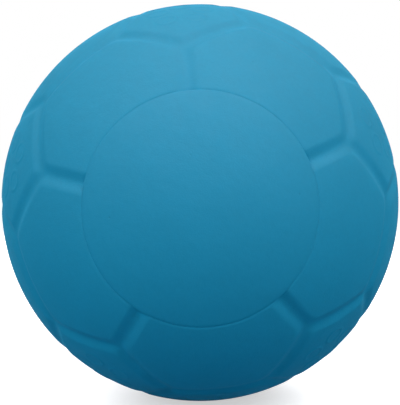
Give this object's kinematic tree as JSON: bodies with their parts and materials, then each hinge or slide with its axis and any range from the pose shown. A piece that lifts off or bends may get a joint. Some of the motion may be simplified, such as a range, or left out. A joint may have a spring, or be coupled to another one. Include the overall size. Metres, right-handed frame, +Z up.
{
  "type": "floating dog ball",
  "caption": "Hollow floating play ball for dogs: bonded half shells with soft football seams, flush round inlaid panels and a sealed vent plug.",
  "frame": {"origin": "the ball's centre", "axes": "+Z up as the ball lies on the ground, -Y out of the front panel, +Y along the panel axis to the vent plug at the back"},
  "size_m": [0.203, 0.2032, 0.2032],
  "materials": {
    "skin_blue": "satin moulded skin of a soft foamed plastic",
    "panel_blue": "satin, smooth",
    "plug_blue": "matte soft plug"
  },
  "bodies": {
    "root": {"front_shell": "skin_blue", "rear_shell": "skin_blue", "front_panel": "panel_blue", "rear_panel": "panel_blue", "vent_plug": "plug_blue"}
  },
  "joints": []
}
